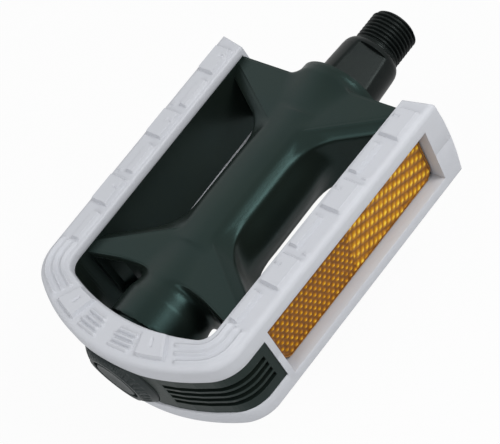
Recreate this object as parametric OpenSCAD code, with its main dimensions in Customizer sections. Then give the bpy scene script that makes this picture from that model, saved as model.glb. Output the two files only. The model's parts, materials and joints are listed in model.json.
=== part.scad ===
// Bicycle pedal, millimetres.
// The spindle runs along Y through the origin, and the face that seats on the crank is at y = 0.
// The crank is on the +Y side, the body lies on the -Y side, and both treads are alike.

/* [Body] */
// From the crank face of the spindle to the ends of the arms
stand_off = 16.9; // [16.5:0.1:20]
// Length of the body along the spindle
body_len = 96.5; // [94:0.5:104]
// Width over the arms at the crank end
width_in = 76; // [74:0.5:84]
// Width over the arms at the outer end
width_out = 71.4; // [69:0.2:76]
// Height over both tread faces, without the pads
tread_h = 27.4; // [26.5:0.2:31]
// Radius of the outer end in plan
end_r = 60; // [50:1:80]
// Radius of the outer corners in plan
corner_r = 11; // [9:0.5:13]

/* [Tread cover] */
// Width of an arm in plan
rail_w = 9.5; // [9:0.1:10.5]
// Depth of the outer end in plan
end_rail = 10.8; // [10:0.1:12]
// Radius of the inner edge of the outer end
opening_r = 75; // [60:1:100]
// Radius of the inner corners
opening_corner_r = 5; // [3:0.5:7]
// Thickness of the tread plate
plate_t = 2.7; // [2.2:0.1:3.2]
// Radius of the outer tread edge
edge_r = 1.8; // [1.4:0.1:2.4]
// Thickness of the cover's side, from its face to the core
side_t = 5; // [4.5:0.1:5.4]
// Thickness of the cover at the ends of the arms
tip_t = 1.8; // [1.2:0.1:2.4]
// Bevel on the inner tread edge, across
lip_w = 0.6; // [0.3:0.1:1]
// Bevel on the inner tread edge, down
lip_h = 1.7; // [1:0.1:2.2]
// How far the ends of the arms slant back on the inside
tip_slant = 1.7; // [0.5:0.1:2.5]
// How far the ends of the arms bulge towards the crank
tip_bow = 1.1; // [0.6:0.1:1.5]

/* [Tread pads] */
// Height of the pads above the tread
pad_h = 1.2; // [0.5:0.1:1.5]
// From the end of an arm to its first block
pad_in = 4.2; // [3.5:0.1:5]
// Distance from one block to the next
pad_pitch = 24.4; // [24:0.1:26]
// Length of a block along the arm
block_len = 9; // [8:0.1:10]
// Length of a bar along the arm
bar_len = 9.8; // [8:0.1:10.5]
// Gap between a block and the bar after it
pad_gap = 2.9; // [2:0.1:3.2]
// Width of a bar
bar_w = 2.6; // [2:0.1:3]
// Land left on the inner side of a block
block_inner = 1.8; // [1.5:0.1:3]
// Land left on the outer side of a block
block_outer = 1.6; // [1.2:0.1:2.2]
// From the start of a block to the groove across it
tick_in = 3.4; // [2.5:0.1:5]
// Length of a short groove or dash
tick_len = 2; // [1.5:0.1:2.5]
// Width of a short groove or dash
tick_w = 0.5; // [0.4:0.05:0.8]
// Depth of that groove and height of that dash
tick_h = 0.3; // [0.2:0.05:0.5]
// Length of a block on the outer end
end_block_len = 8.6; // [7:0.1:9]
// Distance from the middle to an outer end block
end_block_in = 13; // [12.5:0.1:14]
// Length of the short ridges on the outer end
ridge_len = 7.4; // [5:0.1:8]
// Width of a ridge
ridge_w = 0.8; // [0.5:0.1:1.2]
// Distance from one ridge to the next
ridge_pitch = 1.5; // [1.4:0.05:2]
// Land left outside the short ridges and the end blocks
ridge_land = 2.6; // [2:0.1:3]
// Distance from one corner ridge to the next
arc_pitch = 2.4; // [2.2:0.1:2.6]
// Land left outside the corner ridges
arc_land = 1.9; // [1.5:0.1:2.2]

/* [Reflector windows] */
// Height of a reflector window
window_h = 18.6; // [17.8:0.1:20.6]
// From the end of an arm to its window
window_in = 6.2; // [5.5:0.1:7]
// From a window to the outer end of the body
window_out = 25.3; // [23.5:0.1:29]
// Depth of the lens face below the cover
lens_recess = 3.3; // [3:0.1:3.9]
// Gap round a reflector
reflector_gap = 0.3; // [0.15:0.05:0.5]
// Thickness of a lens
lens_t = 2; // [1.6:0.1:2.2]
// Thickness of a reflector back
back_t = 0.9; // [0.7:0.1:1]
// Corner cut of a reflector
reflector_cut = 2.4; // [1.2:0.1:3]
// Radius of the posts that hold a reflector
post_r = 1.8; // [1.4:0.1:2.2]
// Skin left behind a post's blind hole
post_skin = 0.8; // [0.6:0.1:1.2]
// Radial play of a post in its hole
post_play = 0.1; // [0.05:0.05:0.2]

/* [Outer band] */
// Height of the dark band round the outer end
band_h = 15.6; // [15.2:0.1:16.5]
// From the window to the band
band_post = 1.8; // [1.4:0.1:2.4]
// Depth of the band's face below the cover
band_recess = 0.4; // [0.2:0.1:0.8]
// Number of louvre grooves
louvre_n = 4; // [3:1:4]
// Height of a louvre groove
louvre_h = 1.5; // [1.2:0.1:1.7]
// Distance from one groove to the next
louvre_pitch = 2.4; // [2.2:0.1:2.6]
// Depth of a groove
louvre_d = 1.3; // [0.8:0.1:1.6]
// Distance from the middle to the first groove
louvre_in = 16.5; // [16:0.5:19]
// Land left at the far end of the grooves
louvre_land = 2.1; // [1.5:0.1:3]

/* [Core] */
// Thickness of the core's side walls
wall_t = 2.6; // [2.2:0.1:2.9]
// Gap between the cover and the core
cover_gap = 0.1; // [0.05:0.05:0.2]
// Half width of the spine
spine_half = 8.2; // [8:0.1:9]
// Height of the spine and webs
web_h = 21; // [20:0.2:21.4]
// Bevel along the edges of the two large windows, down
web_bevel = 2; // [1.6:0.1:2.4]
// Bevel along the edges of the two large windows, across
web_bevel_w = 3; // [2.4:0.1:3.4]
// Radius of the bevel's upper corners
web_bevel_r = 2; // [1:0.5:4]
// From the ends of the arms to the crank side web
web_in = 2.6; // [2.2:0.1:3.2]
// From the ends of the arms to the large windows, at the walls
hole_in_wall = 8; // [7.5:0.5:10]
// From the ends of the arms to the large windows, at the spine
hole_in_spine = 20.6; // [20:0.2:25]
// From the outer end to the far side of the windows, at the spine
hole_out_spine = 41.5; // [39.5:0.5:46.5]
// From the outer end to the far side of the windows, at the walls
hole_out_wall = 28.7; // [27.5:0.2:32.5]
// Radius of the rounded corners at the spine
hole_r = 6.5; // [6:0.5:12]
// From the outer end to the outer edge of the outer web, at the middle
web_out_mid = 25.7; // [25:0.1:26.5]
// From the outer end to the outer edge of the outer web, at the walls
web_out_wall = 21.7; // [21.5:0.1:23.5]
// Half width of the straight part of that edge
web_out_half = 12.5; // [11:0.5:14]
// Thickness of the skins round the hollows in the webs
web_skin = 2.4; // [2:0.1:2.8]
// Radius of the collar on the crank side
collar_r = 13.1; // [12.8:0.1:13.4]
// How far the collar stands out of the arms
collar_out = 1.9; // [1.4:0.1:2.2]
// Length of the collar
collar_len = 3; // [2.5:0.1:4]
// Length of the taper behind the collar
collar_taper = 16; // [12:0.5:18]
// From the step on the barrel to the outer end's inner edge
barrel_step = 1.2; // [1:0.1:2]
// Radius of the barrel at the outer web
barrel_r = 12.2; // [12:0.1:12.6]
// Length of the long taper from the spine to the outer web
barrel_taper = 20; // [16:0.5:22]
// Radius of the barrel where it leaves the web
barrel_neck_r = 10.8; // [10.6:0.1:11.4]
// Length over which it grows to its full radius
barrel_flare = 6; // [4:0.5:7]
// Thickness of the walls in the outer end
end_wall_t = 2.4; // [2:0.1:2.6]
// Thickness of the ribs in the outer end
end_rib_t = 1.4; // [1:0.1:1.8]
// Distance between the ribs in the outer end
end_rib_pitch = 6; // [5:0.5:7]

/* [Spindle] */
// Diameter of the crank thread, 9/16 inch
thread_d = 14.288; // [14.288]
// Length of the crank thread
thread_len = 11.5; // [10:0.5:13]
// Chamfer on the thread's end
thread_chamfer = 0.8; // [0.5:0.1:1]
// Radius of the wrench section beside the collar
wrench_r = 9.4; // [9.2:0.05:9.6]
// Radius of the wrench section beside the thread
wrench_front_r = 8.9; // [8.6:0.05:9.1]
// Rounding of the crank face
seat_round = 1.3; // [0.8:0.1:1.5]
// Length of that rounding along the spindle
seat_round_len = 3; // [2:0.1:3.6]
// Width across the wrench flats
flats_w = 15; // [14.6:0.1:15.4]
// Turn of the flats from level
flats_turn = 58; // [0:1:90]
// From the crank face to the flats
flats_in = 2.2; // [1.6:0.1:3]
// Length of the flats
flats_len = 11; // [9:0.5:12]
// Radius of the shaft at the crank side
shaft_in_r = 6; // [5.8:0.05:6.1]
// Radius of the shaft at the outer side
shaft_out_r = 5.2; // [5:0.05:5.4]
// Radius of the threaded outer end
tail_r = 4; // [3.8:0.05:4.1]

/* [Bearings] */
// Diameter of a ball, 1/8 inch
ball_d = 3.175; // [3.175]
// Number of balls in each bearing
ball_n = 12; // [10:1:12]
// Radius of the circle that the inner balls run on
ball_in_r = 7.2; // [7.1:0.05:7.3]
// Radius of the circle that the outer balls run on
ball_out_r = 6.9; // [6.8:0.05:7]
// Gap between a ball and its races
ball_gap = 0.12; // [0.08:0.01:0.15]
// Radius of the inner cup
cup_in_r = 10.4; // [10.2:0.05:10.6]
// Radius of the outer cup
cup_out_r = 9.9; // [9.7:0.05:10]
// Thickness of a cup's wall
cup_wall = 1.6; // [1.4:0.05:1.7]
// Length of a cup
cup_len = 4.6; // [4.4:0.1:5]
// Thickness of a cup's floor
cup_floor = 1.8; // [1.6:0.05:1.9]
// From the rim of the collar to the inner cup
cup_in_depth = 3; // [2.8:0.1:3.4]
// From the outer end of the body to the outer cup
cup_out_depth = 11.6; // [11.2:0.1:12]
// Width across the flats of the cone and the locknut
nut_af = 13; // [12:0.5:13.5]
// Length of the locknut
nut_len = 3; // [2.6:0.1:3.2]
// Thickness of the lock washer
washer_t = 0.9; // [0.7:0.1:1]
// Radius of the lock washer
washer_r = 6.6; // [6.2:0.1:6.8]
// Radial play of the threads and of the seal on the spindle
fit_play = 0.05; // [0.03:0.01:0.08]
// Running gap between the spindle and the body
run_gap = 0.5; // [0.4:0.05:0.6]

/* [Dust cap and seal] */
// Radius of the dust cap's rim
cap_r = 12; // [11.6:0.1:12.2]
// Thickness of the rim
cap_t = 1; // [0.8:0.1:1.2]
// Depth of the rim's face below the outer end
cap_recess = 1.2; // [1:0.1:1.6]
// Radius of the cap's front
cap_front_r = 8.2; // [7.8:0.1:9]
// Height of the cap's front above the rim
cap_front_h = 2.6; // [2:0.1:3.2]
// Width of each ring on the cap's front
cap_ring_w = 1.1; // [0.8:0.1:1.4]
// Depth of the groove between the rings
cap_groove = 0.8; // [0.4:0.1:1]
// Rise of the arch that the cap makes in the cover's edges
arch_rise = 1; // [0.6:0.1:1.2]
// Radius of the skirt that plugs into the barrel
cap_skirt_r = 10.4; // [10.2:0.05:10.5]
// Length of that skirt inside the core
cap_skirt_len = 2.4; // [1.8:0.1:3]
// Wall of the dust cap
cap_wall = 1.2; // [1:0.1:1.4]
// Play round the dust cap
cap_play = 0.15; // [0.1:0.05:0.2]
// Number of grip grooves round the cap
cap_grip_n = 24; // [12:1:28]
// Radius of a grip groove
cap_grip_r = 0.5; // [0.3:0.1:0.6]
// Thickness of the dust seal
seal_t = 1.2; // [1:0.1:1.5]
// Depth of the seal inside the collar
seal_depth = 0.9; // [0.6:0.1:1.1]

/* [Hidden] */
$fn = 96;

// Neck and hexagon of the cone, the spindle's free end past the nut, and the keyway
cone_neck = 0.8;
cone_hex = 1.6;
tail_out = 0.6;
key_w = 1.6;
key_d = 0.5;

// Space kept between a curved face and the flat one beside it
fit_gap = 0.3;
// Segments of the rounding beside the crank face
seat_n = 4;
// Overrun that lets a cut clear the face it starts from
cut = 1;
// Segments of an outline's corner and of its end
corner_n = 8;
end_n = 12;
edge_n = 4;

arm_y = -stand_off;
tip_y = arm_y + tip_bow;
window_len = body_len - window_in - window_out;
reflector_h = window_h - 2 * reflector_gap;
end_y = -(stand_off + body_len);
half_h = tread_h / 2;
taper = atan((width_in - width_out) / 2 / body_len);
core_h = tread_h - 2 * plate_t - 2 * cover_gap;
opening_y = end_y + end_rail;
window_y = arm_y - window_in;
band_y = window_y - window_len - band_post;
end_y_run = band_y - end_y;
collar_y = arm_y + collar_out;
web_in_y = arm_y - web_in;
web_out_y = end_y + web_out_mid;
web_wall_y = end_y + web_out_wall;
pad_n = floor((body_len - corner_r - pad_in) / pad_pitch);
thread_r = thread_d / 2;

ball_r = ball_d / 2;
race_r = ball_r + ball_gap;
cup_in_y = collar_y - cup_in_depth;
cup_out_y = end_y + cup_out_depth;
// A ball sits in a cup with its far side half way into the floor
ball_in_y = cup_in_y - cup_len + cup_floor / 2 + race_r;
ball_out_y = cup_out_y + cup_len - cup_floor / 2 - race_r;
seal_y = collar_y - seal_depth;
bore_r = shaft_in_r + run_gap;
cap_y = end_y + cap_recess;
cap_seat_y = cap_y + cap_t;
cap_front_y = cap_y - cap_front_h;
// Where the plug of the cap meets the core's end wall behind the cover's edges
plug_y = end_y + end_r - sqrt(pow(end_r - side_t, 2) - pow(cap_skirt_r, 2)) + 2 * cover_gap;
cone_a = atan((cap_r - cap_front_r) / cap_front_h);
cone_y = ball_out_y - race_r;
washer_y = cone_y - cone_hex - cone_neck;
nut_y = washer_y - washer_t;
tail_y = nut_y - nut_len - tail_out;

// Half width of the body at y, less inset
function side_x(inset, y) = width_in / 2 - inset / cos(taper) + (y + stand_off) * tan(taper);

// Outline of the body in plan, open towards the crank.
// inset is from the side faces, y_end and r_end give the end arc, r_c the corners and y_top the
// straight edge. The corner arc touches the side line and the end arc.
function plan(inset, y_end, r_end, r_c, y_top) =
    let (slope = tan(taper),
         a = width_in / 2 + stand_off * slope - (inset + r_c) / cos(taper),
         e = y_end + r_end,
         r = r_end - r_c,
         q = a * slope - e,
         k = 1 + slope * slope,
         cy = (-q - sqrt(q * q - k * (a * a + e * e - r * r))) / k,
         cx = a + slope * cy,
         turn = atan2(cy - e, cx),
         corner = [for (i = [0:corner_n]) let (t = -taper + (turn + taper) * i / corner_n)
             [cx + r_c * cos(t), cy + r_c * sin(t)]],
         end = [for (i = [1:end_n - 1]) let (t = turn + (-180 - 2 * turn) * i / end_n)
             [r_end * cos(t), e + r_end * sin(t)]],
         top = [side_x(inset, y_top), y_top])
    concat([top], corner, end,
           [for (i = [corner_n:-1:0]) [-corner[i][0], corner[i][1]]], [[-top[0], top[1]]]);

function outer(inset, y_top) = plan(inset, end_y + inset, end_r - inset, corner_r - inset, y_top);
function inner(grow, y_top) =
    plan(rail_w - grow, opening_y - grow, opening_r + grow, opening_corner_r + grow, y_top);

// Arc of radius r that rounds corner c between the directions to a and b
function fillet(a, c, b, r, n = 6) =
    let (u = (a - c) / norm(a - c), v = (b - c) / norm(b - c),
         half = acos(u * v) / 2,
         m = (u + v) / norm(u + v),
         o = c + m * r / sin(half),
         p = c + u * r / tan(half) - o,
         s = sign(u[0] * v[1] - u[1] * v[0]),
         turn = s * (180 - 2 * half))
    [for (i = [0:n]) let (t = turn * i / n)
        o + [p[0] * cos(t) + p[1] * sin(t), p[1] * cos(t) - p[0] * sin(t)]];

module slab(points, h) translate([0, 0, -h / 2]) linear_extrude(h) polygon(points);

// Solid through loops of equally many points, one at each height from the lowest up
module loft(loops, heights) {
    n = len(loops[0]);
    top = n * (len(loops) - 1);
    points = [for (k = [0:len(loops) - 1], p = loops[k]) [p[0], p[1], heights[k]]];
    ends = [[for (i = [n - 1:-1:0]) i], [for (i = [0:n - 1]) top + i]];
    sides = [for (k = [0:n:top - 1], i = [0:n - 1]) let (j = (i + 1) % n)
        each [[k + j, k + n + j, k + n + i], [k + j, k + n + i, k + i]]];
    polyhedron(points, concat(ends, sides));
}

// Turns a profile of [radius, y] pairs about the spindle axis
module lathe(profile) rotate([-90, 0, 0]) rotate_extrude() polygon(profile);

module tube_y(r, y0, y1) translate([0, min(y0, y1), 0]) rotate([-90, 0, 0])
    cylinder(r = r, h = abs(y1 - y0));

// Places children on the outer face of the +X arm: x outwards, y towards the crank from its end
module on_arm() translate([width_in / 2, arm_y, 0]) rotate([0, 0, -taper]) children();

module both_sides() {
    children();
    mirror([1, 0, 0]) children();
}

// Corners of one of the two large windows beside the spine, grown by g, before rounding
function hole_corners(g) =
    let (wall = rail_w - wall_t / 2,
         in_w = arm_y - hole_in_wall,
         in_s = arm_y - hole_in_spine,
         out_s = end_y + hole_out_spine,
         out_w = end_y + hole_out_wall,
         x_in = side_x(wall, in_w),
         x_out = side_x(wall, out_w),
         k_in = (in_w - in_s) / (x_in - spine_half),
         k_out = (out_s - out_w) / (x_out - spine_half),
         up = g * sqrt(1 + k_in * k_in),
         down = g * sqrt(1 + k_out * k_out))
    [[x_out, out_w - down], [spine_half - g, out_s - down + g * k_out],
     [spine_half - g, in_s + up - g * k_in], [x_in, in_w + up]];

function hole(g, r = hole_r) = let (c = hole_corners(g))
    concat([c[0]], fillet(c[0], c[1], c[2], r), fillet(c[1], c[2], c[3], r),
           [c[3]]);

module body_core() color([0.17, 0.24, 0.23]) difference() {
    union() {
        core_walls();
        core_end();
        difference() {
            slab(web_plan(), web_h);
            both_sides() window_cut();
            both_sides() web_hollows();
        }
        core_barrel();
    }
    core_bores();
    both_sides() post_holes();
}

// Outer shape of the spine and both webs, before the two large windows
function web_plan() =
    let (wall = rail_w - wall_t / 2,
         x_in = side_x(wall, web_in_y), x_out = side_x(wall, web_wall_y))
    [[x_in, web_in_y], [x_out, web_wall_y], [web_out_half, web_out_y],
     [-web_out_half, web_out_y], [-x_out, web_wall_y], [-x_in, web_in_y]];

module window_cut() {
    slab(hole(0), web_h + 2 * cut);
    for (s = [0, 1]) mirror([0, 0, s])
        loft([hole(0), hole(web_bevel_w * (web_bevel + cut) / web_bevel, web_bevel_r)],
             [web_h / 2 - web_bevel, web_h / 2 + cut]);
}

// Both webs are hollow: the one by the collar opens to the crank, the other to the outer end
module web_hollows() {
    c = hole_corners(web_skin);
    x_in = collar_r + web_skin;
    x_far = c[3][0] - wall_t;
    k_in = (c[3][1] - c[2][1]) / (c[3][0] - c[2][0]);
    k_out = (c[0][1] - c[1][1]) / (c[0][0] - c[1][0]);
    slab([[x_in, web_in_y + cut], [x_far, web_in_y + cut], [x_far, c[2][1] + k_in * (x_far - c[2][0])],
          [x_in, c[2][1] + k_in * (x_in - c[2][0])]], web_h - 2 * web_skin);
    slab([[x_in, c[1][1] + k_out * (x_in - c[1][0])], [c[0][0] - wall_t, c[0][1] - k_out * -wall_t],
          [c[0][0] - wall_t, web_wall_y - cut], [x_in, web_wall_y - cut]],
         web_h - 2 * web_skin);
}

module core_walls() {
    y_tip = arm_y - tip_t - cover_gap;
    difference() {
        slab(outer(rail_w - wall_t, y_tip), core_h);
        slab(inner(0, y_tip + cut), core_h + 2 * cut);
    }
}

// The outer end is a box of thin walls and ribs, closed by the tread plates of the cover
module core_end() {
    y_top = band_y - cover_gap;
    difference() {
        union() {
            slab(outer(side_t + cover_gap, y_top), core_h);
            slab(outer(band_recess, y_top), band_h - 2 * cover_gap);
        }
        slab(inner(0, y_top + cut), core_h + 2 * cut);
        difference() {
            slab(outer(side_t + end_wall_t, y_top - end_wall_t), core_h + 2 * cut);
            slab(inner(end_wall_t, y_top), core_h + 4 * cut);
            both_sides() end_ribs();
        }
        both_sides() louvres();
    }
}

module end_ribs() {
    first = barrel_r + end_wall_t;
    for (x = [first:end_rib_pitch:width_in / 2])
        translate([x, end_y, -core_h]) cube([end_rib_t, end_rail + corner_r, 2 * core_h]);
}

module louvres() {
    y_land = band_y - cover_gap - louvre_land;
    for (i = [0:louvre_n - 1])
        translate([0, 0, (i - (louvre_n - 1) / 2) * louvre_pitch]) intersection() {
            difference() {
                slab(outer(-cut, y_land), louvre_h);
                slab(outer(band_recess + louvre_d, y_land + cut), louvre_h + 2 * cut);
            }
            translate([louvre_in, end_y - cut, -louvre_h])
                cube([width_in, body_len, 2 * louvre_h]);
        }
}

module core_barrel() {
    lathe([[0, collar_y], [collar_r, collar_y], [collar_r, collar_y - collar_len],
           [spine_half, collar_y - collar_len - collar_taper],
           [0, collar_y - collar_len - collar_taper]]);
    lathe([[0, web_out_y + barrel_taper], [spine_half, web_out_y + barrel_taper],
           [barrel_neck_r, web_out_y], [barrel_r, web_out_y - barrel_flare],
           [barrel_r, opening_y + barrel_step],
           [core_h / 2 - fit_gap, opening_y + barrel_step],
           [core_h / 2 - fit_gap, opening_y - end_wall_t], [0, opening_y - end_wall_t]]);
    intersection() {
        tube_y(cap_r + end_wall_t, opening_y - end_wall_t / 2, end_y - cut);
        slab(outer(band_recess, opening_y), band_h - 2 * cover_gap);
    }
    intersection() {
        tube_y(cap_r + end_wall_t, opening_y - end_wall_t / 2, end_y - cut);
        slab(outer(side_t + cover_gap, opening_y), core_h);
    }
}

module core_bores() {
    tube_y(cup_in_r, collar_y + cut, cup_in_y - cup_len);
    tube_y(bore_r, collar_y, end_y);
    tube_y(cup_out_r, cup_out_y + cup_len, end_y - cut);
    tube_y(cap_skirt_r + cap_play, plug_y + cap_skirt_len + cap_play, end_y - cut);
    tube_y(cap_r + cap_play, cap_seat_y, end_y - cut);
}

post_y_shares = [0.2, 0.8];

module posts(r, x0, x1) for (s = post_y_shares)
    on_arm() translate([x0, -window_in - s * window_len, 0]) rotate([0, 90, 0])
        cylinder(r = r, h = x1 - x0);

module post_holes() posts(post_r + post_play, -rail_w + post_skin, -rail_w + wall_t + cut);

module tread_cover() color([0.77, 0.78, 0.82]) {
    difference() {
        cover_shell();
        slab(inner(0, tip_y + cut), tread_h + 2 * cut);
        for (s = [0, 1]) mirror([0, 0, s]) lip_bevel();
        slab(outer(side_t, arm_y - tip_t), tread_h - 2 * plate_t);
        both_sides() on_arm() translate([-side_t - cut, -window_in - window_len, -window_h / 2])
            cube([side_t + 2 * cut, window_len, window_h]);
        difference() {
            slab(outer(-cut, band_y), band_h);
            slab(inner(0, band_y + cut), band_h + 2 * cut);
        }
        intersection() {
            tube_y(cap_r + 2 * cap_play, plug_y + cap_play, end_y - cut);
            cap_arch(0);
        }
        tip_cuts();
    }
    for (s = [0, 1]) mirror([0, 0, s]) translate([0, 0, half_h]) pads();
}

// The whole outside of the cover, with rounded tread edges
module cover_shell() {
    turns = [for (i = [0:edge_n]) 90 * i / edge_n];
    up = [for (a = turns) half_h - edge_r + edge_r * sin(a)];
    in = [for (a = turns) edge_r * (1 - cos(a))];
    loft([for (i = [-edge_n:edge_n]) outer(in[abs(i)], tip_y)],
         [for (i = [-edge_n:edge_n]) sign(i) * up[abs(i)]]);
}

module lip_bevel()
    loft([inner(0, tip_y + cut), inner(lip_w * (lip_h + cut) / lip_h, tip_y + cut)],
         [half_h - lip_h, half_h + cut]);

// The ends of the arms slant back towards the spindle and are rounded over their height
module tip_cuts() both_sides() difference() {
    r = (half_h * half_h + tip_bow * tip_bow) / (2 * tip_bow);
    translate([width_in / 2 - rail_w - cut, arm_y - tip_slant - cut, -tread_h])
        cube([rail_w + 2 * cut, tip_slant + tip_bow + 2 * cut, 2 * tread_h]);
    translate([width_in / 2, arm_y, 0]) rotate([0, 0, atan(tip_slant / rail_w)])
        translate([rail_w, tip_bow - r, 0]) rotate([0, -90, 0]) cylinder(r = r, h = 3 * rail_w);
}

// A pad is a low block that starts a little below the tread
module pad(w, l, h = pad_h) translate([0, 0, -edge_r / 4]) linear_extrude(h + edge_r / 4)
    square([w, l]);

// Block with a short groove across its inner side
module block() difference() {
    pad(rail_w - block_inner - block_outer, block_len);
    translate([-cut, block_len - tick_in, pad_h - tick_h]) cube([cut + tick_len, tick_w, cut]);
}

module pads() both_sides() {
    for (i = [0:pad_n - 1]) {
        on_arm() translate([-rail_w + block_inner, -pad_in - block_len - i * pad_pitch, 0]) block();
        on_arm() translate([-rail_w + block_inner, bar_y(i), 0]) pad(bar_w, bar_len);
        on_arm() translate([-block_outer - tick_len, bar_y(i) - tick_w, 0])
            pad(tick_len, tick_w, tick_h);
    }
    end_pads();
    corner_ridges();
}

function bar_y(i) = -pad_in - block_len - pad_gap - bar_len - i * pad_pitch;

module end_pads() {
    intersection() {
        translate([end_block_in, end_y, -edge_r / 4]) cube([end_block_len, end_rail, pad_h + edge_r]);
        ring(ridge_land, end_rail - block_inner);
    }
    for (i = [0:3]) intersection() {
        translate([end_block_in - pad_gap - ridge_len + i % 2 * ridge_w, end_y, -edge_r / 4])
            cube([ridge_len, end_rail, pad_h + edge_r]);
        ring(ridge_land + i * ridge_pitch, ridge_land + i * ridge_pitch + ridge_w);
    }
}

// Low ridge between two insets of the outline
module ring(a, b) translate([0, 0, -edge_r / 4]) linear_extrude(pad_h + edge_r / 4) difference() {
    polygon(outer(a, band_y));
    polygon(outer(b, band_y + cut));
}

module corner_ridges() for (i = [0:2]) intersection() {
    ring(arc_land + i * arc_pitch, arc_land + i * arc_pitch + ridge_w);
    translate([end_block_in + end_block_len + pad_gap, end_y, -edge_r])
        cube([width_in, end_y_run, pad_h + 2 * edge_r]);
}

function reflector_plan() =
    let (h = reflector_h / 2, l = window_len - 2 * reflector_gap, c = reflector_cut)
    [[0, -h + c], [c, -h], [l - c, -h], [l, -h + c], [l, h - c], [l - c, h], [c, h], [0, h - c]];

// A plate of the reflector's outline that lies on the +X arm, from x0 to x1 off its face
module reflector_plate(x0, x1) on_arm() translate([x0, -window_in - reflector_gap, 0])
    rotate([-90, 0, 0]) rotate([0, 90, 0]) linear_extrude(x1 - x0) polygon(reflector_plan());

module lens() color([0.95, 0.55, 0.1])
    reflector_plate(-lens_recess - lens_t, -lens_recess);

module back() color([0.75, 0.3, 0.12]) {
    reflector_plate(-lens_recess - lens_t - cover_gap - back_t, -lens_recess - lens_t - cover_gap);
    posts(post_r, -rail_w + post_skin + post_play, -lens_recess - lens_t - cover_gap - back_t / 2);
}

module reflector_lens_front() lens();
module reflector_lens_rear() mirror([1, 0, 0]) lens();
module reflector_back_front() back();
module reflector_back_rear() mirror([1, 0, 0]) back();

module spindle() color([0.16, 0.15, 0.15]) difference() {
    lathe(spindle_profile());
    for (s = [0, 1]) rotate([0, -flats_turn + 180 * s, 0])
        translate([flats_w / 2, -flats_in - flats_len, -wrench_r])
            cube([wrench_r, flats_len, 2 * wrench_r]);
    race(ball_in_r, ball_in_y);
    keyway(0);
}

function spindle_profile() =
    let (taper_y = (ball_in_y + ball_out_y) / 2)
    [[0, thread_len], [thread_r - thread_chamfer, thread_len],
     [thread_r, thread_len - thread_chamfer], [thread_r, 0],
     each [for (i = [0:seat_n]) let (a = 90 * i / seat_n)
         [wrench_front_r - seat_round * (1 - sin(a)), -seat_round_len * (1 - cos(a))]],
     [wrench_r, collar_y], [wrench_r, cup_in_y + run_gap],
     [ball_in_r, cup_in_y + run_gap], [ball_in_r, ball_in_y],
     [shaft_in_r, ball_in_y - ball_r], [shaft_in_r, taper_y],
     [shaft_out_r, taper_y + shaft_out_r - shaft_in_r],
     [shaft_out_r, ball_out_y + ball_r], [tail_r, ball_out_y + ball_r - (shaft_out_r - tail_r)],
     [tail_r, tail_y], [0, tail_y]];

module race(r, y) translate([0, y, 0]) rotate([-90, 0, 0]) rotate_extrude()
    translate([r, 0]) circle(r = race_r);

// Flat-sided slot along the threaded end, for the washer's tab
module keyway(play) translate([-key_w / 2 - play, tail_y - cut, tail_r - key_d - play])
    cube([key_w + 2 * play, ball_out_y - ball_r - tail_y + cut, key_d + cut]);

module inner_cup() color([0.7, 0.7, 0.72]) difference() {
    lathe([[cup_in_r - cup_wall, cup_in_y], [cup_in_r, cup_in_y], [cup_in_r, cup_in_y - cup_len],
           [bore_r, cup_in_y - cup_len], [bore_r, cup_in_y - cup_len + cup_floor],
           [cup_in_r - cup_wall, cup_in_y - cup_len + cup_floor]]);
    race(ball_in_r, ball_in_y);
}

module outer_cup() color([0.7, 0.7, 0.72]) difference() {
    lathe([[cup_out_r - cup_wall, cup_out_y], [cup_out_r, cup_out_y],
           [cup_out_r, cup_out_y + cup_len], [shaft_out_r + run_gap, cup_out_y + cup_len],
           [shaft_out_r + run_gap, cup_out_y + cup_len - cup_floor],
           [cup_out_r - cup_wall, cup_out_y + cup_len - cup_floor]]);
    race(ball_out_r, ball_out_y);
}

module outer_cone() color([0.6, 0.6, 0.63]) difference() {
    union() {
        lathe([[0, ball_out_y - ball_gap], [ball_out_r - ball_gap, ball_out_y - ball_gap],
               [ball_out_r, cone_y - cone_neck], [0, cone_y - cone_neck]]);
        translate([0, washer_y, 0]) rotate([-90, 0, 0])
            cylinder(d = nut_af / cos(30), h = cone_hex + cone_neck / 2, $fn = 6);
    }
    tube_y(tail_r + fit_play, ball_out_y + cut, washer_y - cut);
    race(ball_out_r, ball_out_y);
}

module lock_washer() color([0.6, 0.6, 0.63]) difference() {
    tube_y(washer_r, washer_y, washer_y - washer_t);
    difference() {
        tube_y(tail_r + fit_play, washer_y + cut, nut_y - cut);
        translate([-key_w / 2 + fit_play, nut_y - 2 * cut, tail_r - key_d + fit_play])
            cube([key_w - 2 * fit_play, washer_t + 4 * cut, tail_r]);
    }
}

module lock_nut() color([0.6, 0.6, 0.63]) difference() {
    translate([0, nut_y - nut_len, 0]) rotate([-90, 0, 0])
        cylinder(d = nut_af / cos(30), h = nut_len, $fn = 6);
    tube_y(tail_r + fit_play, nut_y + cut, nut_y - nut_len - cut);
}

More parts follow.
